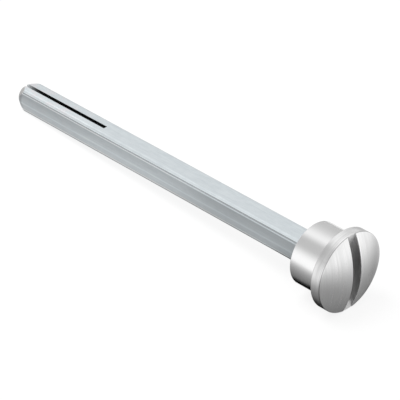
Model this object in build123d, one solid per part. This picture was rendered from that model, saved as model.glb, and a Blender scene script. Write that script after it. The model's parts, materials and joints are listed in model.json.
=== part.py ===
from build123d import *
from math import atan2, cos, degrees, radians, sin, sqrt
import os

# Door handle spindle: a split square bar with a slotted head pressed on its end.
# Lengths are in millimetres. Both pieces are drawn along X, the bar's centre line, with x = 0
# where the bar enters the head. The spindle is then laid down as it rests on a table.

# Square bar, drawn to the common 8 mm size, with its long edges rounded
bar_width = 8.0
bar_edge_radius = 1.2
bar_reach = 130.0

# Turned free end: a flat face and a slightly crowned taper that takes the corners off the square.
# The angle is the taper's, where it leaves the face.
end_face_diameter = 6.7
end_taper_angle = 33.0
end_crown_radius = 44.0

# Slit sawn into the free end from top to bottom, which lets its two prongs spread
slit_width = 1.5
slit_length = 39.0

# Collar that turns in the rose, and the larger rim in front of it
collar_diameter = 20.5
collar_length = 11.0
rim_diameter = 26.2
rim_thickness = 3.5
dome_height = 3.15

# Slot for a screwdriver or a coin, milled with a large disc: its floor is a shallow arc that
# runs out just behind the dome's edge and dips between its ends
slot_width = 3.5
slot_run_out = 0.2
slot_floor_dip = 0.65

# Chamfers of the turned head, the last one along the dome's edge and the slot's lips
collar_chamfer = 0.15
rim_back_chamfer = 0.12
front_chamfer = 0.1

# Square tang milled on the bar's held end, whose shoulder stops on the collar, and the blind
# socket that it is pressed into
shoulder_height = 0.3
tang_length = 10.0
tang_edge_radius = 0.9
socket_clearance = 0.01
socket_end_gap = 0.2

# Two places nearer than this are one
tiny = 1e-4


def turned(outline):
    """A solid of revolution about X from a closed outline of x and radius."""
    return revolve(outline, axis=Axis.X, revolution_arc=360)


def square_prism(width, edge_radius, x_start, x_end):
    """A square bar with rounded edges between two stations on X."""
    section = Plane.YZ * RectangleRounded(width, width, edge_radius)
    return Pos(X=x_start) * extrude(section, amount=x_end - x_start)


def end_taper_x(radius):
    """The station on X where the turned end has opened to this radius."""
    slope = radians(end_taper_angle)
    crown_x = -bar_reach + end_crown_radius * sin(slope)
    crown_y = end_face_diameter / 2 - end_crown_radius * cos(slope)
    return crown_x - sqrt(end_crown_radius**2 - (radius - crown_y) ** 2)


def make_bar():
    """The square bar: turned and split at its free end, with a tang where the head holds it."""
    blank = square_prism(bar_width, bar_edge_radius, -bar_reach, 0)
    clear_radius = 0.75 * bar_width
    face_edge = (-bar_reach, end_face_diameter / 2)
    taper_end = (end_taper_x(clear_radius), clear_radius)
    taper = RadiusArc(face_edge, taper_end, end_crown_radius)
    core = Polyline(taper_end, (0, clear_radius), (0, 0), (-bar_reach, 0), face_edge)
    slit = Pos(X=-bar_reach) * Box(2 * slit_length, slit_width, 2 * bar_width)
    tang = square_prism(bar_width - 2 * shoulder_height, tang_edge_radius, 0, tang_length)
    return (blank & turned(make_face(taper + core))) - slit + tang


def head_blank():
    """The turned head without its slot and socket: collar, rim and domed face."""
    collar_r = collar_diameter / 2
    rim_r = rim_diameter / 2
    rim_front = collar_length + rim_thickness
    nose = rim_front + dome_height
    dome_radius = (rim_r**2 + dome_height**2) / (2 * dome_height)
    shoulder = Polyline(
        (nose, 0),
        (0, 0),
        (0, collar_r),
        (collar_length, collar_r),
        (collar_length, rim_r),
        (rim_front, rim_r),
    )
    dome = RadiusArc((rim_front, rim_r), (nose, 0), dome_radius)
    outline = make_face(shoulder + dome)

    def corners(x, radius):
        return outline.vertices().filter_by(lambda v: abs(v.X - x) < tiny and abs(v.Y - radius) < tiny)

    outline = chamfer(corners(0, collar_r), collar_chamfer)
    outline = chamfer(corners(collar_length, rim_r), rim_back_chamfer)
    return turned(outline)


def make_head():
    """The head with its milled slot and its blind square socket."""
    rim_r = rim_diameter / 2
    rim_front = collar_length + rim_thickness
    floor_x = rim_front - slot_run_out - slot_floor_dip
    cutter_radius = (rim_r**2 + slot_floor_dip**2) / (2 * slot_floor_dip)
    slot = Pos(X=floor_x + cutter_radius) * Rot(X=90) * Cylinder(cutter_radius, slot_width)
    socket_width = bar_width - 2 * shoulder_height + 2 * socket_clearance
    socket_radius = tang_edge_radius + socket_clearance
    socket = square_prism(socket_width, socket_radius, -bar_width, tang_length + socket_end_gap)
    head = head_blank() - slot - socket

    def is_front_edge(edge):
        middle = edge @ 0.5
        lip = abs(abs(middle.Y) - slot_width / 2) < tiny and middle.X > rim_front
        dome_edge = abs(middle.X - rim_front) < tiny and abs((edge @ 0).X - rim_front) < tiny
        return lip or dome_edge

    return chamfer(head.edges().filter_by(is_front_edge), front_chamfer)


def lying_angle():
    """The bar's slope when the end's lower edge and the rim's back edge rest on a table."""
    run = collar_length + rim_back_chamfer - end_taper_x(max(bar_width, end_face_diameter) / 2)
    drop = (rim_diameter - bar_width) / 2
    return degrees(atan2(drop, run))


pieces = {"spindle_bar": make_bar(), "slotted_head": make_head()}

tilted = {name: Rot(Y=-lying_angle()) * piece for name, piece in pieces.items()}
box = Compound(list(tilted.values())).bounding_box()
middle = box.center()
on_table = Pos(-middle.X, -middle.Y, -box.min.Z)

os.makedirs("parts", exist_ok=True)
for name, piece in tilted.items():
    export_step(on_table * piece, f"parts/{name}.step")

print("lying angle", round(lying_angle(), 4), "degrees")
print("centre line meets the collar's back at", (on_table * Rot(Y=-lying_angle())).position)
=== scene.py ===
import json
from math import asin, atan2, cos, pi, radians, sin, sqrt

import bpy
from mathutils import Matrix, Vector


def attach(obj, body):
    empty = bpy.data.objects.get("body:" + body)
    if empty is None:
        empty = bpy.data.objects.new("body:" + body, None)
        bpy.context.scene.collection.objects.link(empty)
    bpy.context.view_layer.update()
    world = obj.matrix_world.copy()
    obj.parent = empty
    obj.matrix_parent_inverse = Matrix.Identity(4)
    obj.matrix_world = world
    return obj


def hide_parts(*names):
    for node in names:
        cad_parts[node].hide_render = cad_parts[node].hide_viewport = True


# Door handle spindle: a split square bar with a domed, slotted head on its end. Both pieces are
# drawn along X in millimetres, with x = 0 at the back of the collar, and then laid on the table as
# the solids are.

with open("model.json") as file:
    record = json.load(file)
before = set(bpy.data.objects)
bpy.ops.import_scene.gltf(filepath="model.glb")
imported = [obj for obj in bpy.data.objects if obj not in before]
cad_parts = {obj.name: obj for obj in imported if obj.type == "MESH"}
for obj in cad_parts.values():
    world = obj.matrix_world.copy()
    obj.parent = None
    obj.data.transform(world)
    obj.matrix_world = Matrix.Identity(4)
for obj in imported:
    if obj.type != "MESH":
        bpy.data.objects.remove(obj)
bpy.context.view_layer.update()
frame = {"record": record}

MM = 0.001

# Square bar with its turned, split end and its tang
bar_width = 8.0
bar_edge_radius = 1.2
bar_reach = 130.0
end_face_diameter = 6.7
end_taper_angle = 33.0
end_crown_radius = 44.0
slit_width = 1.5
slit_length = 39.0
shoulder_height = 0.3
tang_length = 10.0
tang_edge_radius = 0.9
socket_clearance = 0.01
socket_end_gap = 0.2

# The slit is sawn a little off the bar's middle, and a little askew
slit_offset_open_end = -0.42
slit_offset_inner_end = -0.24

# Turned head
collar_diameter = 20.5
collar_length = 11.0
rim_diameter = 26.2
rim_thickness = 3.5
dome_height = 3.15
slot_width = 3.5
slot_run_out = 0.2
slot_floor_dip = 0.65
collar_chamfer = 0.15
rim_back_chamfer = 0.12

# Broken edges that only show close up
dome_edge_radius = 0.2
slot_lip_radius = 0.3
turned_edge_radius = 0.08
bar_end_blend = 0.2
bar_face_blend = 0.12

# How finely the surfaces are divided
dome_rows = 56
dome_columns = 22
wall_columns = 3
floor_columns = 12
arc_steps = 5
prong_columns = 104
taper_steps = 10

# How closely points are worked out and joined
outline_tries = 30
weld_digits = 4
tiny = 1e-6

# Edges that turn by more than this many degrees stay sharp
head_sharp_angle = 25
bar_sharp_angle = 22

# The finishes, as each piece numbers them
COLLAR, RIM, EDGE, FACE, LIP, WALL, FLOOR = range(7)
PLATE, SLIT, TIP = range(3)


# Meshes

class Shell:
    """Collects points and faces in millimetres, and makes one watertight object of them."""

    def __init__(self):
        self.points = []
        self.faces = []
        self.finishes = []

    def add_points(self, points):
        start = len(self.points)
        self.points.extend(points)
        return list(range(start, len(self.points)))

    def grid(self, rows, finish=0, closed=False):
        """Faces between rows of points, each row closed on itself if asked."""
        lines = [self.add_points(row) for row in rows]
        for low, high in zip(lines, lines[1:]):
            count = len(low)
            for i in range(count if closed else count - 1):
                j = (i + 1) % count
                self.faces.append((low[i], low[j], high[j], high[i]))
                self.finishes.append(finish[i] if isinstance(finish, list) else finish)

    def polygon(self, points, finish=0):
        self.faces.append(tuple(self.add_points(points)))
        self.finishes.append(finish)

    def build(self, name, placement, finishes, sharp_angle):
        """Welds the points, lays them on the table and marks the sharp edges."""
        mesh = bpy.data.meshes.new(name)
        weld = {}
        used = []
        index_of = []
        for point in self.points:
            key = tuple(round(c, weld_digits) for c in point)
            if key not in weld:
                weld[key] = len(used)
                used.append(placement @ (Vector(point) * MM))
            index_of.append(weld[key])
        faces = []
        face_finishes = []
        for face, finish in zip(self.faces, self.finishes):
            corners = []
            for corner in (index_of[i] for i in face):
                if corner not in corners:
                    corners.append(corner)
            if len(corners) > 2:
                faces.append(corners)
                face_finishes.append(finish)
        mesh.from_pydata(used, [], faces)
        mesh.polygons.foreach_set("material_index", face_finishes)
        mesh.polygons.foreach_set("use_smooth", [True] * len(faces))
        mesh.set_sharp_from_angle(angle=radians(sharp_angle))
        for finish in finishes:
            mesh.materials.append(finish)
        mesh.validate()
        piece = bpy.data.objects.new(name, mesh)
        bpy.context.scene.collection.objects.link(piece)
        return piece


def rounded_square(width, edge_radius, angle):
    """Distance from the centre of a rounded square to its outline, in a direction."""
    across, along = sorted((abs(cos(angle)), abs(sin(angle))))
    half = width / 2
    corner = half - edge_radius
    if across / along * half <= corner:
        return half / along
    middle = corner * (across + along)
    return middle + sqrt(middle**2 - 2 * corner**2 + edge_radius**2)


def bent(before, corner, after, reach, steps=arc_steps):
    """Points on a smooth bend that replaces a corner, starting and ending at this reach from it."""
    start = corner + (before - corner).normalized() * min(reach, (before - corner).length / 2)
    end = corner + (after - corner).normalized() * min(reach, (after - corner).length / 2)
    points = []
    for i in range(steps + 1):
        t = i / steps
        points.append(start * (1 - t) ** 2 + corner * 2 * t * (1 - t) + end * t**2)
    return points


# The head, with its front face ruled in rows across the slot

rim_radius = rim_diameter / 2
rim_front = collar_length + rim_thickness
dome_radius = (rim_radius**2 + dome_height**2) / (2 * dome_height)
dome_centre = rim_front + dome_height - dome_radius
floor_radius = (rim_radius**2 + slot_floor_dip**2) / (2 * slot_floor_dip)
floor_centre = rim_front - slot_run_out - slot_floor_dip + floor_radius
edge_centre_r = rim_radius - dome_edge_radius
edge_centre_x = dome_centre + sqrt((dome_radius - dome_edge_radius) ** 2 - edge_centre_r**2)
dome_reach = edge_centre_r * dome_radius / (dome_radius - dome_edge_radius)
slot_end_angle = atan2(sqrt(dome_reach**2 - (slot_width / 2) ** 2), slot_width / 2)


def floor_x(z):
    return floor_centre - sqrt(floor_radius**2 - z**2)


def half_row(angle):
    """One row of the front face, from the rim at this angle to the foot of the slot's wall."""
    points = []
    dome_slope = atan2(edge_centre_r, edge_centre_x - dome_centre)
    for i in range(arc_steps + 1):
        turn = pi / 2 + (dome_slope - pi / 2) * i / arc_steps
        radius = edge_centre_r + dome_edge_radius * sin(turn)
        x = edge_centre_x + dome_edge_radius * cos(turn)
        points.append((x, radius * cos(angle), radius * sin(angle)))
    z = dome_reach * sin(angle)
    y_rim = dome_reach * cos(angle)
    section_radius = sqrt(dome_radius**2 - z**2)
    lip = min(slot_lip_radius, (y_rim - slot_width / 2) / 2)
    lip_y = slot_width / 2 + lip
    lip_x = dome_centre + sqrt((section_radius - lip) ** 2 - lip_y**2)
    y_lip = lip_y * section_radius / (section_radius - lip)
    for i in range(1, dome_columns):
        y = y_rim + (y_lip - y_rim) * i / dome_columns
        points.append((dome_centre + sqrt(section_radius**2 - y**2), y, z))
    lip_slope = atan2(lip_y, lip_x - dome_centre)
    for i in range(arc_steps + 1):
        turn = lip_slope + (-pi / 2 - lip_slope) * i / arc_steps
        points.append((lip_x + lip * cos(turn), lip_y + lip * sin(turn), z))
    for i in range(1, wall_columns + 1):
        points.append((lip_x + (floor_x(z) - lip_x) * i / wall_columns, slot_width / 2, z))
    return points


def full_row(side, floor_z):
    """A half row, the slot's floor and the mirrored half row."""
    y_foot = side[-1][1]
    floor = []
    for i in range(1, floor_columns):
        y = y_foot * (1 - 2 * i / floor_columns)
        z = floor_z(y)
        floor.append((floor_x(z), y, z))
    return side + floor + [(x, -y, z) for x, y, z in reversed(side)]


def end_row(sign):
    """The row where the slot runs out through the rim."""
    y_end = rim_radius * cos(slot_end_angle)
    z_end = sign * rim_radius * sin(slot_end_angle)
    corner = (edge_centre_x, y_end, z_end)
    side = [corner] * (arc_steps + dome_columns + arc_steps + wall_columns)
    side.append((floor_x(z_end), y_end, z_end))
    return full_row(side, lambda y: sign * sqrt(rim_radius**2 - y**2))


def head_angles():
    """Angles from +Y round the head: the rows' ends and, at the slot's ends, its floor's columns."""
    rows = [slot_end_angle * i / dome_rows for i in range(-dome_rows, dome_rows + 1)]
    y_end = rim_radius * cos(slot_end_angle)
    ends = []
    for i in range(1, floor_columns):
        y = y_end * (1 - 2 * i / floor_columns)
        ends.append(atan2(sqrt(rim_radius**2 - y**2), y))
    return rows + ends + [pi + a for a in rows] + [pi + a for a in ends]


def make_head(placement, finishes):
    shell = Shell()
    rows = [end_row(-1)]
    for i in range(-dome_rows, dome_rows + 1):
        side = half_row(slot_end_angle * i / dome_rows)
        rows.append(full_row(side, lambda y, z=side[-1][2]: z))
    rows.append(end_row(1))
    half_finish = [EDGE] * arc_steps + [FACE] * dome_columns + [LIP] * arc_steps + [WALL] * wall_columns
    shell.grid(rows, half_finish + [FLOOR] * floor_columns + half_finish[::-1])

    angles = head_angles()

    def ring(x, radius):
        return [(x, radius * cos(a), radius * sin(a)) for a in angles]

    def square_ring(x):
        width = bar_width - 2 * shoulder_height + 2 * socket_clearance
        radii = [rounded_square(width, tang_edge_radius + socket_clearance, a) for a in angles]
        return [(x, r * cos(a), r * sin(a)) for r, a in zip(radii, angles)]

    socket_floor = tang_length + socket_end_gap
    shell.grid([ring(socket_floor, 0), square_ring(socket_floor), square_ring(0)], WALL, closed=True)
    collar_r = collar_diameter / 2
    back_corner = Vector((0, collar_r - collar_chamfer))
    side_corner = Vector((collar_chamfer, collar_r))
    foot = Vector((collar_length, collar_r))
    profile = bent(Vector((0, bar_width)), back_corner, side_corner, turned_edge_radius)
    profile += bent(back_corner, side_corner, foot, turned_edge_radius)
    shell.grid([square_ring(0)] + [ring(x, r) for x, r in profile] + [ring(*foot)], COLLAR, closed=True)
    rim_corner = Vector((collar_length, rim_radius - rim_back_chamfer))
    rim_back = Vector((collar_length + rim_back_chamfer, rim_radius))
    profile = bent(foot, rim_corner, rim_back, turned_edge_radius)
    profile += bent(rim_corner, rim_back, Vector((rim_front, rim_radius)), turned_edge_radius)
    z_end = rim_radius * sin(slot_end_angle)
    notch = []
    for a in angles:
        height = rim_radius * abs(sin(a))
        notch.append((floor_x(max(height, z_end)), rim_radius * cos(a), rim_radius * sin(a)))
    shell.grid([ring(*foot)] + [ring(x, r) for x, r in profile] + [notch], RIM, closed=True)
    rows_per_side = 2 * dome_rows + 1
    for start in (0, rows_per_side + floor_columns - 1):
        stop = start + rows_per_side
        edge = ring(edge_centre_x, rim_radius)
        shell.grid([notch[start:stop], edge[start:stop]], RIM)
    return shell.build("slotted_head_finished", placement, finishes, head_sharp_angle)


# The bar, with its prongs ruled in columns round from the slit

def end_taper_x(radius):
    """The station on X where the turned end has opened to this radius."""
    slope = radians(end_taper_angle)
    crown_x = -bar_reach + end_crown_radius * sin(slope)
    crown_y = end_face_diameter / 2 - end_crown_radius * cos(slope)
    return crown_x - sqrt(end_crown_radius**2 - (radius - crown_y) ** 2)


def slit_edge(x, side):
    """How far the slit's edge on this side lies from the bar's middle, at a station on X."""
    share = min(1.0, (x + bar_reach) / slit_length)
    offset = slit_offset_open_end + share * (slit_offset_inner_end - slit_offset_open_end)
    return slit_width / 2 + side * offset


def prong_angle(share, radius, half_slit):
    """Angle from +Z of a column, whose first and last ones follow the slit's edges."""
    slit_angle = asin(half_slit / radius)
    return slit_angle + share * (pi - 2 * slit_angle)


def place_on_square(share, half_slit):
    """Radius and angle at which a column meets the outline of the square."""
    radius = bar_width / 2
    for _ in range(outline_tries):
        angle = prong_angle(share, radius, half_slit)
        radius = rounded_square(bar_width, bar_edge_radius, angle)
    return radius, angle


def prong_column(share, side):
    """Points along one column of the prong on the +Y or -Y side, from the end face to the tang."""
    half_slit = slit_edge(-bar_reach, side)
    radius, angle = place_on_square(share, half_slit)
    face_edge = Vector((-bar_reach, end_face_diameter / 2))
    crease = Vector((end_taper_x(radius), radius))
    middle_radius = radius - (radius - face_edge.y) / 2
    middle = Vector((end_taper_x(middle_radius), middle_radius))
    line = bent(Vector((-bar_reach, 0)), face_edge, middle, bar_face_blend)
    crease_start = crease + (middle - crease).normalized() * bar_end_blend
    low, high = line[-1].y, crease_start.y
    for i in range(1, taper_steps):
        r = low + (high - low) * i / taper_steps
        line.append(Vector((end_taper_x(r), r)))
    line += bent(middle, crease, crease + Vector((bar_width / 2, 0)), bar_end_blend)
    points = []
    for x, r in line:
        turn = prong_angle(share, r, half_slit) if r < radius - tiny else angle
        points.append((x, side * r * sin(turn), r * cos(turn)))
    for x in (crease.x + 2 * bar_end_blend, -bar_reach + slit_length, 0):
        radius, angle = place_on_square(share, slit_edge(x, side))
        points.append((x, side * radius * sin(angle), radius * cos(angle)))
    tang_r = rounded_square(bar_width - 2 * shoulder_height, tang_edge_radius, angle)
    for x in (0, tang_length):
        points.append((x, side * tang_r * sin(angle), tang_r * cos(angle)))
    return points


def make_bar(placement, finishes):
    """Two prongs, and past the slit the strips that join them into one bar."""
    shell = Shell()
    shares = [i / prong_columns for i in range(prong_columns + 1)]
    rear = [prong_column(share, 1) for share in shares]
    front = [prong_column(share, -1) for share in shares]
    taper_rows = (arc_steps + 1) + (taper_steps - 1) + arc_steps // 2
    finish = [TIP] * taper_rows + [PLATE] * (len(rear[0]) - taper_rows)
    # The last four stations are the slit's end, the shoulder's two edges and the tang's end
    solid_stations = 4
    solid_start = len(rear[0]) - solid_stations
    for columns in (rear, front):
        shell.grid(columns, finish)
        shell.polygon([column[0] for column in columns], TIP)
        edge = columns[0][: solid_start + 1]
        far_edge = columns[-1][: solid_start + 1]
        shell.polygon(edge + far_edge[::-1], SLIT)
    for rear_column, front_column in ((rear[0], front[0]), (rear[-1], front[-1])):
        shell.grid([rear_column[solid_start:], front_column[solid_start:]])
    slit_end = [column[solid_start] for column in (rear[0], rear[-1], front[-1], front[0])]
    shell.polygon(slit_end, SLIT)
    shell.polygon([column[-1] for column in rear + front[::-1]])
    return shell.build("spindle_bar_finished", placement, finishes, bar_sharp_angle)


# Materials

white = (1, 1, 1, 1)


class Graph:
    """Short calls for building a node tree."""

    def __init__(self, tree):
        self.tree = tree
        tree.nodes.clear()

    def node(self, kind, inputs=None, **settings):
        made = self.tree.nodes.new(kind)
        for name, value in settings.items():
            setattr(made, name, value)
        for key, value in (inputs or {}).items():
            if isinstance(value, bpy.types.NodeSocket):
                self.tree.links.new(value, made.inputs[key])
            else:
                made.inputs[key].default_value = value
        return made

    def math(self, operation, *values):
        return self.node("ShaderNodeMath", dict(enumerate(values)), operation=operation).outputs[0]

    def chain(self, operation, values):
        total = values[0]
        for value in values[1:]:
            total = self.math(operation, total, value)
        return total

    def add(self, *values):
        return self.chain("ADD", values)

    def times(self, *values):
        return self.chain("MULTIPLY", values)

    def minus(self, first, second):
        return self.math("SUBTRACT", first, second)

    def at_least(self, value, limit):
        return self.math("MAXIMUM", value, limit)

    def absolute(self, value):
        return self.math("ABSOLUTE", value)

    def apart(self, first, second):
        """How far two numbers differ."""
        return self.absolute(self.minus(first, second))

    def hypotenuse(self, first, second):
        squares = self.add(self.math("POWER", first, 2.0), self.math("POWER", second, 2.0))
        return self.math("SQRT", squares)

    def degrees(self, up, out):
        """The angle whose sides are these, in degrees."""
        return self.times(self.math("ARCTAN2", up, out), 180 / pi)

    def mix(self, factor, first, second):
        """Mixes two numbers."""
        inputs = {0: factor, 2: first, 3: second}
        return self.node("ShaderNodeMix", inputs, data_type="FLOAT").outputs[0]

    def mix_colour(self, factor, first, second):
        inputs = {0: factor, 6: first, 7: second}
        return self.node("ShaderNodeMix", inputs, data_type="RGBA").outputs[2]

    def mix_shaders(self, factor, first, second):
        return self.node("ShaderNodeMixShader", {0: factor, 1: first, 2: second}).outputs[0]

    def emission(self, strength):
        """White light of this strength."""
        return self.node("ShaderNodeEmission", {"Color": white, "Strength": strength}).outputs[0]

    def rays(self):
        """Whether a ray is mirrored, and whether it comes from the camera or through glass."""
        path = self.node("ShaderNodeLightPath").outputs
        return path["Is Glossy Ray"], self.at_least(path["Is Camera Ray"], path["Is Transmission Ray"])

    def split(self, vector):
        """A vector's X, Y and Z."""
        return self.node("ShaderNodeSeparateXYZ", {0: vector}).outputs

    def scaled(self, vector, share):
        inputs = {0: vector, "Scale": share}
        return self.node("ShaderNodeVectorMath", inputs, operation="SCALE").outputs[0]

    def along_bar(self, lengths=(1, 1, 1)):
        """Places in the drawing's own X, Y and Z, counted in these lengths, in millimetres."""
        place = self.node("ShaderNodeTexCoord").outputs["Object"]
        turn = tuple(spindle_place.to_euler())
        scale = tuple(length * MM for length in lengths)
        inputs = {"Vector": place, "Location": tuple(collar_back), "Rotation": turn, "Scale": scale}
        return self.node("ShaderNodeMapping", inputs, vector_type="TEXTURE").outputs[0]

    def place(self):
        """X, Y and Z in the drawing, in millimetres."""
        return self.split(self.along_bar())

    def noise(self, lengths, detail=3.0, roughness=0.55):
        """Noise whose features have these lengths along the drawing's X, Y and Z."""
        vector = self.along_bar(lengths)
        settings = {"Vector": vector, "Scale": 1.0, "Detail": detail, "Roughness": roughness}
        return self.node("ShaderNodeTexNoise", settings).outputs["Fac"]

    def remap(self, value, low, high, to_low, to_high):
        """Runs smoothly from one level to another while a value runs from low to high."""
        inputs = {"Value": value, "From Min": low, "From Max": high, "To Min": to_low, "To Max": to_high}
        return self.node("ShaderNodeMapRange", inputs, interpolation_type="SMOOTHSTEP").outputs[0]

    def rising(self, value, low, high):
        return self.remap(value, low, high, 0.0, 1.0)

    def falling(self, value, low, high):
        return self.remap(value, low, high, 1.0, 0.0)


# Painted light and shade, and tints, by the place in the drawing. A tone is a share of its metal's
# colour that stands in for light and shade, or is added to that share, and a pair of tones is those at
# the two ends of a change. Where it changes is a pair too: a run along X, across Y, heights on Z, widths
# from a line, or turns in degrees.

# Painted light and shade on the plating of the bar's rounded edges, where a turn of 0 faces the side and
# 90 faces up or down
bar_corner = bar_width / 2 - bar_edge_radius
edge_tone = 0.92
edge_top_turns = (66, 88)
edge_rise = 0.1
edge_rise_turns = (42, 60)
edge_light = 0.27
edge_light_turns = (0, 12)
edge_glint = 0.16
edge_glint_turn = 50
edge_glint_widths = (4, 14)
edge_glint_run = (-80, -40)
edge_line = -0.64
edge_line_turns = (21.0, 25.5)
edge_line_run = (-95, -30)
edge_line_half_widths = (4.0, 7.0)
edge_line_widening_run = (-48, -28)
edge_line_blend = 9.0

# Painted light and shade on the plating of the bar's sides
side_tone = 0.85
side_blend_in = 0.3
side_blend_out = 0.2
side_by_tip = (-0.03, 0.04)
side_tip_run = (-112, -85)
side_by_head = (0.0, -0.11)
side_head_run = (-54, -28)
side_line = 0.14
side_line_height = -0.75
side_line_widths = (0.08, 0.45)
side_rise = 0.18
side_rise_heights = (-1.0, 2.6)

# Painted shine along the bar's edges, towards its sides
shine_by_tip = (0.1, 0.17)
shine_tip_run = (-112, -86)
shine_by_head = (0.0, -0.34)
shine_head_run = (-74, -20)
shine_turns = (0, 16)

# Painted light on the near prong's top
prong_light = 0.09
prong_light_heights = (3.5, 4)
prong_light_run = (-100, -86)
prong_light_across = (slit_offset_open_end - 1.3, slit_offset_open_end - 0.5)

# Painted shade in a band on the bar's sides, beside the turned taper's crease
crease_slope = 1.6
crease_shade = -0.25
crease_widths = (0.5, 1.6)
crease_foot_heights = (-3.0, -1.5)
crease_top_heights = (1.5, 2.8)


def edge_terms(graph, x, turn):
    """Painted light and shade across the bar's rounded edges: light, a dark line, a glint and the top.
    """
    top = graph.remap(turn, *edge_top_turns, edge_tone, 1.0)
    rise = graph.remap(turn, *edge_rise_turns, edge_rise, 0.0)
    glint = graph.remap(graph.apart(turn, edge_glint_turn), *edge_glint_widths, edge_glint, 0.0)
    glint = graph.times(glint, graph.rising(x, *edge_glint_run))
    line_turn = graph.remap(x, *edge_line_run, *edge_line_turns)
    line_half = graph.remap(x, *edge_line_widening_run, *edge_line_half_widths)
    line_end = graph.add(line_half, edge_line_blend)
    line = graph.remap(graph.apart(turn, line_turn), line_half, line_end, edge_line, 0.0)
    light = graph.remap(turn, *edge_light_turns, edge_light, 0.0)
    return top, rise, glint, line, light


def side_terms(graph, x, z, turn):
    """Painted light and shade on the bar's sides, and the painted shine along the edges beside them."""
    height = graph.absolute(z)
    side_step = side_tone - (edge_tone + edge_rise + edge_light)
    side = graph.remap(height, bar_corner - side_blend_in, bar_corner, side_step, 0.0)
    on_side = graph.falling(height, bar_corner - side_blend_in, bar_corner + side_blend_out)
    by_tip = graph.remap(x, *side_tip_run, *side_by_tip)
    by_head = graph.remap(x, *side_head_run, *side_by_head)
    along = graph.times(graph.add(by_tip, by_head), on_side)
    tip_shine = graph.remap(x, *shine_tip_run, *shine_by_tip)
    head_shine = graph.remap(x, *shine_head_run, *shine_by_head)
    shine = graph.times(graph.add(tip_shine, head_shine), graph.falling(turn, *shine_turns))
    shine = graph.times(shine, graph.minus(1.0, on_side))
    line = graph.remap(graph.apart(z, side_line_height), *side_line_widths, side_line, 0.0)
    return side, along, shine, line


def bar_painted_shading(graph):
    """Painted light and shade on the plating, round the bar and along it."""
    x, y, z = graph.place()
    out = graph.at_least(graph.minus(graph.absolute(y), bar_corner), 0.0)
    up = graph.at_least(graph.minus(graph.absolute(z), bar_corner), 0.0)
    turn = graph.degrees(up, out)
    prong = graph.remap(y, *prong_light_across, prong_light, 0.0)
    on_top = graph.rising(z, *prong_light_heights)
    prong = graph.times(prong, on_top, graph.falling(x, *prong_light_run))
    taper_reach = bar_reach + crease_slope * end_face_diameter / 2
    crease_x = graph.minus(graph.times(graph.hypotenuse(y, z), crease_slope), taper_reach)
    crease = graph.remap(graph.minus(x, crease_x), *crease_widths, crease_shade, 0.0)
    band = graph.times(graph.rising(z, *crease_foot_heights), graph.falling(z, *crease_top_heights))
    crease = graph.times(crease, band)
    rise = graph.remap(z, *side_rise_heights, side_rise, 0.0)
    return graph.add(*edge_terms(graph, x, turn), *side_terms(graph, x, z, turn), prong, crease, rise)


# Painted light and shade on the turned end. A turn of 0 faces the side that the camera sees, and 90
# faces up.
tip_shade = -0.54
tip_shade_turns = (-12, 14)
tip_under_turns = (-80, -25)
tip_pale = 0.35
tip_pale_turns = (58, 82)
tip_behind_turns = (140, 178)
tip_face_blend = 0.3


def tip_painted_shading(graph):
    """Painted shade low on the turned taper's near side and painted light, palest, on its top; the end
    face is even.
    """
    _, y, z = graph.place()
    turn = graph.degrees(z, graph.times(y, -1.0))
    shaded = graph.remap(turn, *tip_shade_turns, tip_shade, 0.0)
    shaded = graph.times(shaded, graph.rising(turn, *tip_under_turns))
    pale = graph.remap(turn, *tip_pale_turns, 0.0, tip_pale)
    pale = graph.times(pale, graph.falling(turn, *tip_behind_turns))
    face_radius = end_face_diameter / 2
    on_taper = graph.rising(graph.hypotenuse(y, z), face_radius, face_radius + tip_face_blend)
    return graph.add(graph.times(graph.add(shaded, pale), on_taper), 1.0)


# Painted shade on the edge between the rim and the dome
dome_edge_dark = 0.6
dome_edge_heights = (1, 6)
dome_edge_lift = 0.3
dome_edge_foot_heights = (-8, -5)


def dome_edge_painted_shade(graph):
    """Painted shade on the turned edge between the rim and the dome, darkest beside the spindle's
    middle.
    """
    _, _, z = graph.place()
    tone = graph.remap(z, *dome_edge_heights, dome_edge_dark, 1.0)
    return graph.add(tone, graph.remap(z, *dome_edge_foot_heights, dome_edge_lift, 0.0))


# Painted light and shade on the rim
rim_painted_levels = (0.83, 1.15)
rim_top_heights = (10.6, 13.2)
rim_far = 0.78
rim_far_across = (2, 8)
rim_far_shade = -0.15
rim_far_shade_across = (3.5, 7.5)
rim_low_shade = -0.05
rim_low_shade_heights = (-1, 1.5)
rim_lift = 0.12
rim_lift_run = (11.6, 13.4)
rim_shoulder_height = 9.9
rim_shoulder_widths = (1.4, 2.2)
rim_patch_start = (0.5, 2.5)
rim_patch_end = (4.5, 6.5)

# Painted shade on the front of the rim, beside the dome
dome_side_shade = -0.32
dome_side_run = (13.95, 14.35)
dome_side_top_heights = (1.5, 6)
dome_side_foot_heights = (-7, -4)


def rim_painted_shading(graph):
    """Painted light, palest along the top of the rim, and painted shade a little at its back and dark
    beside the dome.
    """
    x, y, z = graph.place()
    tone = graph.remap(z, *rim_top_heights, *rim_painted_levels)
    tone = graph.times(tone, graph.remap(y, *rim_far_across, 1.0, rim_far))
    shoulder = graph.falling(graph.apart(z, rim_shoulder_height), *rim_shoulder_widths)
    patch = graph.times(graph.rising(y, *rim_patch_start), graph.falling(y, *rim_patch_end))
    lift = graph.times(graph.at_least(shoulder, patch), graph.remap(x, *rim_lift_run, 0.0, rim_lift))
    far_shade = graph.remap(y, *rim_far_shade_across, 0.0, rim_far_shade)
    low_shade = graph.remap(z, *rim_low_shade_heights, rim_low_shade, 0.0)
    below_top = graph.falling(z, *dome_side_top_heights)
    beside_dome = graph.times(below_top, graph.rising(z, *dome_side_foot_heights))
    beside_dome = graph.times(beside_dome, graph.remap(x, *dome_side_run, 0.0, dome_side_shade))
    return graph.add(tone, lift, graph.add(far_shade, low_shade, beside_dome))
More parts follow.
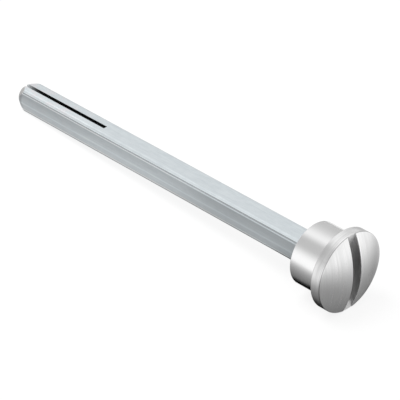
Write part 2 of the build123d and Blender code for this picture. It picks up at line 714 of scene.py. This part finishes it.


# Slot's walls, with painted shade and a painted highlight by their lips
wall_painted_levels = (0.8, 1.02)
wall_dark_height = 2.5
wall_widths = (0, 9)
lip_light = 0.5
lip_depths = (0.4, 1.2)
lip_heights = (-4, 2)
low_wall_run = (14.2, 15.2)
low_wall_heights = (-8, -10)
low_wall_dark = -0.6
low_wall_foot_tones = (0.15, -0.3)
low_wall_foot_heights = (-10, -12)


def wall_painted_shading(graph):
    """Painted shade on the slot's walls, darkest a little above the spindle's middle, and a painted
    highlight at their edge.
    """
    x, _, z = graph.place()
    tone = graph.remap(graph.apart(z, wall_dark_height), *wall_widths, *wall_painted_levels)
    section = graph.math("SQRT", graph.minus(dome_radius**2, graph.math("POWER", z, 2.0)))
    depth = graph.minus(graph.add(section, dome_centre), x)
    lip = graph.remap(depth, *lip_depths, lip_light, 0.0)
    lip = graph.times(lip, graph.rising(z, *lip_heights))
    foot = graph.remap(z, *low_wall_foot_heights, *low_wall_foot_tones)
    low = graph.remap(x, *low_wall_run, foot, low_wall_dark)
    low = graph.times(low, graph.rising(z, *low_wall_heights))
    return graph.add(tone, lip, low)


# Slit, with painted light where light would fall in at its mouth
slit_glow = 5.6
slit_dark = 0.3
slit_glow_reach = 8.0
mouth_bare = 0.35
mouth_run = (0.5 - bar_reach, 6.0 - bar_reach)


def slit_painted_glow(graph):
    """Painted light a little way into the slit from its open end, over its painted shade."""
    x, _, _ = graph.place()
    return graph.remap(x, -bar_reach, slit_glow_reach - bar_reach, slit_glow, slit_dark)


def mouth_tint(graph, tint):
    """The slit's sawn faces are matt at its open end."""
    x, _, _ = graph.place()
    return tint, graph.remap(x, *mouth_run, mouth_bare, 1.0)


# Slot's floor, with painted highlights
run_out_highlight_colour = (0.85, 0.85, 0.85, 1)
run_out_bare = 0.35
run_out_top_heights = (9.0, 15.0)
run_out_top_gain = 0.95
run_out_edge_heights = (rim_radius - 0.6, rim_radius - 0.2)
run_out_edge_gain = 0.5
run_out_far = 0.75
run_out_far_across = (0.7, 1.7)
run_out_low_heights = (-9.8, -11.4)
foot_light = 0.22
foot_widths = (0.12, 0.4)
foot_start_heights = (3, 7)
foot_end_heights = (9.5, 11)


def run_out_highlight(graph, tint):
    """Painted highlights on the slot's floor: it pales and is less metallic where the cutter runs out,
    and along the foot of its walls.
    """
    _, y, z = graph.place()
    at_edge = graph.remap(z, *run_out_edge_heights, 0.0, run_out_edge_gain)
    above = graph.add(graph.remap(z, *run_out_top_heights, 0.0, run_out_top_gain), at_edge)
    above = graph.times(above, graph.remap(y, *run_out_far_across, 1.0, run_out_far))
    below = graph.rising(z, *run_out_low_heights)
    from_wall = graph.minus(slot_width / 2, graph.absolute(y))
    foot = graph.remap(from_wall, *foot_widths, foot_light, 0.0)
    foot = graph.times(foot, graph.rising(z, *foot_start_heights), graph.falling(z, *foot_end_heights))
    pale = graph.math("MINIMUM", graph.add(above, below, foot), 1.0)
    return graph.mix_colour(pale, tint, run_out_highlight_colour), graph.mix(pale, 1.0, run_out_bare)


# Warm patches in the plating
warm_plate = (0.83, 0.8, 0.82, 1)
warm_share = 0.6
warm_lengths = (2.2, 1.6, 1.6)
warm_span = (0.46, 0.6)
warm_run = (-112, -92)
warm_side_share = 0.25
warm_heights = (3.0, 4.0)


def plating_tint(graph, tint):
    """Towards the turned end the plating has faint warm patches."""
    x, _, z = graph.place()
    warm = graph.remap(graph.noise(warm_lengths, detail=2.0), *warm_span, 0.0, warm_share)
    on_top = graph.remap(z, *warm_heights, warm_side_share, 1.0)
    warm = graph.times(warm, graph.falling(x, *warm_run), on_top)
    return graph.mix_colour(warm, tint, warm_plate), 1.0


# Where the noise runs from dark to pale, and from dull to glossy
colour_span = (0.3, 0.7)
gloss_span = (0.25, 0.75)


def metal(name, pale, dark, roughness, spread, lines, line_height, mottle=(6, 6, 6), mottle_share=0.5,
          painted_shading=None, tints_and_highlights=None):
    """A worked metal: fine lines in its height, colour and gloss, and a slow unevenness over them.
    Where given, its colour also carries tints, painted highlights and painted light and shade.
    Lengths are in millimetres."""
    material = bpy.data.materials.new(name)
    material.use_nodes = True
    graph = Graph(material.node_tree)
    fine = graph.noise(lines)
    slow = graph.noise(mottle, detail=4.0)
    share = graph.mix(mottle_share, fine, slow)
    tint = graph.mix_colour(graph.rising(share, *colour_span), dark + (1,), pale + (1,))
    bare = 1.0
    if tints_and_highlights:
        tint, bare = tints_and_highlights(graph, tint)
    # Painted light and shade scale the colour
    if painted_shading:
        tint = graph.scaled(tint, painted_shading(graph))
    gloss = graph.remap(share, *gloss_span, roughness + spread, roughness - spread)
    bump = graph.node("ShaderNodeBump", {"Height": fine, "Strength": 1.0, "Distance": line_height * MM})
    inputs = {"Base Color": tint, "Metallic": bare, "Roughness": gloss, "Normal": bump.outputs[0]}
    shader = graph.node("ShaderNodeBsdfPrincipled", inputs)
    graph.node("ShaderNodeOutputMaterial", {"Surface": shader.outputs[0]})
    return material


def grey(level):
    return level, level, level


# The spindle's place, from the collar's mount in the frame

mounts = {mount["name"]: mount for mount in frame["record"]["mounts"]}
journal = mounts["collar_journal"]
to_head = -Vector(journal["axis"])
sideways = Vector((0, 1, 0))
upward = to_head.cross(sideways)
collar_back = Vector(journal["pos_m"]) - to_head * (collar_chamfer + collar_length) / 2 * MM
spindle_turn = Matrix((to_head, sideways, upward)).transposed().to_4x4()
spindle_place = Matrix.Translation(collar_back) @ spindle_turn

# Finishes

collar_steel = metal("turned_steel", grey(0.76), grey(0.74), roughness=0.2, spread=0.02,
                     lines=(0.12, 30, 30), line_height=0.0004)
rim_steel = metal("ring_brushed_steel", grey(0.81), grey(0.65), roughness=0.32, spread=0.05,
                  lines=(0.24, 9, 9), line_height=0.0025, mottle_share=0.15, painted_shading=rim_painted_shading)
face_steel = metal("face_brushed_steel", grey(0.79), grey(0.70), roughness=0.3, spread=0.04,
                   lines=(9, 0.3, 14), line_height=0.0015, mottle_share=0.2)
# Paler than the face: a painted highlight along the slot's lips
lip_steel = metal("slot_lip_painted_highlight", grey(0.9), grey(0.86), roughness=0.26, spread=0.03,
                  lines=(4, 0.3, 4), line_height=0.001)
# Far darker than the head's other steel: painted shade along the edge between rim and dome
edge_steel = metal("turned_edge_painted_shade", grey(0.46), grey(0.4), roughness=0.34, spread=0.04,
                   lines=(0.25, 5, 5), line_height=0.0015, painted_shading=dome_edge_painted_shade)
# Darker than the head's other steel: painted shade in the slot
wall_steel = metal("milled_wall_painted_shade", grey(0.6), grey(0.5), roughness=0.36, spread=0.04,
                   lines=(0.4, 0.4, 6), line_height=0.002, mottle_share=0.3, painted_shading=wall_painted_shading)
# Darker than the head's other steel, painted shade in the slot, with painted highlights at the run-out
floor_steel = metal("milled_floor_painted_shade", grey(0.64), grey(0.54), roughness=0.36, spread=0.04,
                    lines=(0.4, 0.4, 6), line_height=0.002, tints_and_highlights=run_out_highlight)
bar_zinc = metal("zinc_plate", (0.8, 0.855, 0.88), (0.7, 0.755, 0.785), roughness=0.4, spread=0.04,
                 lines=(10, 0.33, 0.33), line_height=0.002, mottle=(3, 1.2, 1.2), painted_shading=bar_painted_shading,
                 tints_and_highlights=plating_tint)
# Near black: painted shade in the slit, painted lighter at its mouth
slit_zinc = metal("sawn_zinc_painted_shade", (0.13, 0.134, 0.137), (0.09, 0.094, 0.096), roughness=0.5, spread=0.05,
                  lines=(3, 0.3, 0.3), line_height=0.002, painted_shading=slit_painted_glow, tints_and_highlights=mouth_tint)
tip_zinc = metal("turned_zinc", (0.74, 0.735, 0.73), (0.64, 0.635, 0.63), roughness=0.42, spread=0.05,
                 lines=(0.35, 0.6, 0.6), line_height=0.002, painted_shading=tip_painted_shading)

head_finishes = [collar_steel, rim_steel, edge_steel, face_steel, lip_steel, wall_steel, floor_steel]
head = make_head(spindle_place, head_finishes)
bar = make_bar(spindle_place, [bar_zinc, slit_zinc, tip_zinc])
stand_ins = ((head, "slotted_head", "satin_steel"), (bar, "spindle_bar", "zinc_plated_steel"))
for piece, node, slot in stand_ins:
    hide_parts(node)
    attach(piece, "root")

# Studio light that the metal mirrors, in shares of white: soft bands that run along X, by their turn
# round the spindle in degrees. 0 is level on the camera's side, 90 is overhead and 180 is level
# behind, where it is paler towards the head's end.

horizon_glows = (1.3, 0.68)
horizon_turns = (2, 44)
strip_glow = 0.52
strip_turns = (64, 94)
past_strip = -0.34
past_strip_turns = (94, 135)
behind_glow = -0.16
behind_turns = (120, 165)
head_end_glow = 0.56
head_end_span = (-0.3, 0.75)
head_end_turns = (100, 165)
plain_glow = 0.9


def make_world():
    """White to the camera. Metal mirrors soft bands that run along the spindle."""
    world = bpy.data.worlds.new("studio")
    world.use_nodes = True
    world.cycles.sampling_method = "NONE"
    graph = Graph(world.node_tree)
    x, y, z = graph.split(graph.node("ShaderNodeTexCoord").outputs["Generated"])
    turn = graph.degrees(z, graph.times(y, -1.0))
    low = graph.remap(turn, *horizon_turns, *horizon_glows)
    strip = graph.remap(turn, *strip_turns, 0.0, strip_glow)
    past = graph.remap(turn, *past_strip_turns, 0.0, past_strip)
    behind = graph.remap(turn, *behind_turns, 0.0, behind_glow)
    head_end = graph.remap(x, *head_end_span, 0.0, head_end_glow)
    head_end = graph.times(head_end, graph.rising(turn, *head_end_turns))
    glow = graph.add(low, strip, past, behind, head_end)
    mirrored, clear = graph.rays()
    strength = graph.mix(clear, graph.mix(mirrored, plain_glow, glow), 1.0)
    shine = graph.node("ShaderNodeBackground", {"Color": white, "Strength": strength})
    graph.node("ShaderNodeOutputWorld", {"Surface": shine.outputs[0]})
    bpy.context.scene.world = world


# The floor as the metal mirrors it, with the spindle's painted shadow, in millimetres and shares of
# white:
# dark beside the head, a little lighter along the bar and in front of the head, and paler with the
# distance. A bearing of 0 degrees is straight ahead of the head's front, and one of 90 is along Y,
# behind it.

side_floor = 0.13
side_gain = 0.22
side_fade = 5.0
side_start = 9.5
side_dark = (7.0, 11.5)
rim_widening = (0, 7)
open_floor = (12.0, 64.0)
open_gain = 0.95
bar_floors = (0.52, 0.4)
bar_floor_run = (-75, -45)
bar_floor_end = (-22, -6)

# The painted shadow on the floor in front of the head, by the distance and the bearing
front_floor = 0.2
front_gain = 1.14
front_fade = 70.0
front_levels = (0.68, 1.1)
front_bearings = (-22, 50)
rear_level = -0.33
rear_bearings = (59, 90)
near_levels = (1.0, 1.15)
near_start = 3
near_ends = (22.0, 11.0)
near_bearings = (50, 75)
far_level = 0.94
far_distances = (60, 140)
front_blend = (rim_front - 1, rim_front + 1)
least_ahead = 0.1

# The painted shade on the floor behind the spindle
back_share = 0.45
back_across = (20, 130)
back_run = (-60, 20)

# The floor as the camera sees it, and its half size in metres
floor_shadow_share = 0.16
floor_half = 3.0
floor_colour = (0.9, 0.9, 0.9, 1)


def paler(graph, distance, start, gain, fade):
    """A level that starts here and gains as much with the distance, ever more slowly."""
    ratio = graph.times(graph.at_least(distance, 0.0), -1 / fade)
    return graph.minus(start + gain, graph.times(graph.math("EXPONENT", ratio), gain))


def floor_beside(graph, x, aside):
    """The painted shadow on the mirrored floor on both sides of the spindle."""
    rim_step = (rim_diameter - collar_diameter) / 2
    past_side = graph.minus(aside, graph.remap(x, *rim_widening, 0.0, rim_step))
    side = paler(graph, graph.minus(past_side, side_start), side_floor, side_gain, side_fade)
    side = graph.add(side, graph.remap(past_side, *open_floor, 0.0, open_gain))
    side = graph.times(side, graph.rising(past_side, *side_dark))
    along_bar = graph.remap(x, *bar_floor_run, *bar_floors)
    return graph.at_least(side, graph.times(along_bar, graph.falling(x, *bar_floor_end)))


def floor_ahead(graph, x, y, aside):
    """The painted shadow on the mirrored floor in front of the head."""
    past_foot = graph.at_least(graph.minus(x, rim_front), 0.0)
    past_rim = graph.at_least(graph.minus(aside, rim_radius), 0.0)
    distance = graph.hypotenuse(past_foot, past_rim)
    bearing = graph.degrees(y, graph.at_least(past_foot, least_ahead))
    level = graph.remap(bearing, *front_bearings, *front_levels)
    level = graph.add(level, graph.remap(bearing, *rear_bearings, 0.0, rear_level))
    near_level = graph.remap(bearing, *near_bearings, *near_levels)
    near_end = graph.remap(bearing, *near_bearings, *near_ends)
    level = graph.mix(graph.rising(distance, near_start, near_end), near_level, level)
    level = graph.mix(graph.rising(distance, *far_distances), level, far_level)
    return graph.times(paler(graph, distance, front_floor, front_gain, front_fade), level)


def floor_glow(graph):
    """How pale the floor is where metal mirrors it, with the spindle's painted shadow."""
    spot = graph.node("ShaderNodeNewGeometry").outputs["Position"]
    x, y, _ = graph.split(graph.scaled(spot, 1 / MM))
    x = graph.minus(x, collar_back.x / MM)
    aside = graph.absolute(y)
    side = floor_beside(graph, x, aside)
    ahead = floor_ahead(graph, x, y, aside)
    glow = graph.mix(graph.rising(x, *front_blend), side, ahead)
    back = graph.times(graph.rising(y, *back_across), graph.falling(x, *back_run))
    return graph.times(glow, graph.mix(back, 1.0, back_share))


def make_floor():
    """A pale floor. The camera sees it white with a faint shadow, and metal sees a painted shadow on it,
    darker near the spindle, as a real floor is under an object that stands on it."""
    mesh = bpy.data.meshes.new("floor")
    corners = [(i * floor_half, j * floor_half, 0) for i, j in ((-1, -1), (1, -1), (1, 1), (-1, 1))]
    mesh.from_pydata(corners, [], [(0, 1, 2, 3)])
    floor = bpy.data.objects.new("floor", mesh)
    bpy.context.scene.collection.objects.link(floor)
    material = bpy.data.materials.new("pale_floor")
    material.use_nodes = True
    material.cycles.emission_sampling = "NONE"
    graph = Graph(material.node_tree)
    matt = graph.node("ShaderNodeBsdfDiffuse", {"Color": floor_colour}).outputs[0]
    seen = graph.mix_shaders(1 - floor_shadow_share, matt, graph.emission(1.0))
    mirrored, clear = graph.rays()
    surface = graph.mix_shaders(mirrored, matt, graph.emission(floor_glow(graph)))
    surface = graph.mix_shaders(clear, surface, seen)
    graph.node("ShaderNodeOutputMaterial", {"Surface": surface})
    mesh.materials.append(material)


def make_lamp(name, place, aim, size, power):
    """A square soft box that lights the floor and casts the spindle's faint shadow."""
    lamp = bpy.data.lights.new(name, "AREA")
    lamp.shape = "SQUARE"
    lamp.size = size
    lamp.energy = power
    box = bpy.data.objects.new(name, lamp)
    box.location = place
    box.rotation_euler = (Vector(aim) - Vector(place)).to_track_quat("-Z", "Y").to_euler()
    box.visible_camera = False
    box.visible_glossy = False
    bpy.context.scene.collection.objects.link(box)


make_world()
make_floor()
make_lamp("soft_box", place=(-0.35, -0.25, 0.8), aim=(0, 0, 0), size=0.6, power=6.0)

# Camera, fitted to the bar's edges, the collar, the rim, the dome and the slot

camera_azimuth = 43.2328
camera_elevation = 34.589
camera_roll = 4.3148
camera_place = Vector((405.7609, -422.4897, 405.4596)) * MM
camera_lens = 204.769
camera_sensor = 36.0

azimuth, elevation, roll = (radians(a) for a in (camera_azimuth, camera_elevation, camera_roll))
back = Vector((sin(azimuth) * cos(elevation), -cos(azimuth) * cos(elevation), sin(elevation)))
level = Vector((cos(azimuth), sin(azimuth), 0))
right = level * cos(roll) + back.cross(level) * sin(roll)
camera_data = bpy.data.cameras.new("camera")
camera_data.lens = camera_lens
camera_data.sensor_width = camera_sensor
camera = bpy.data.objects.new("camera", camera_data)
turned = Matrix((right, back.cross(right), back)).transposed().to_4x4()
camera.matrix_world = Matrix.Translation(camera_place) @ turned
bpy.context.scene.collection.objects.link(camera)
bpy.context.scene.camera = camera
bpy.context.scene.view_settings.view_transform = "Standard"
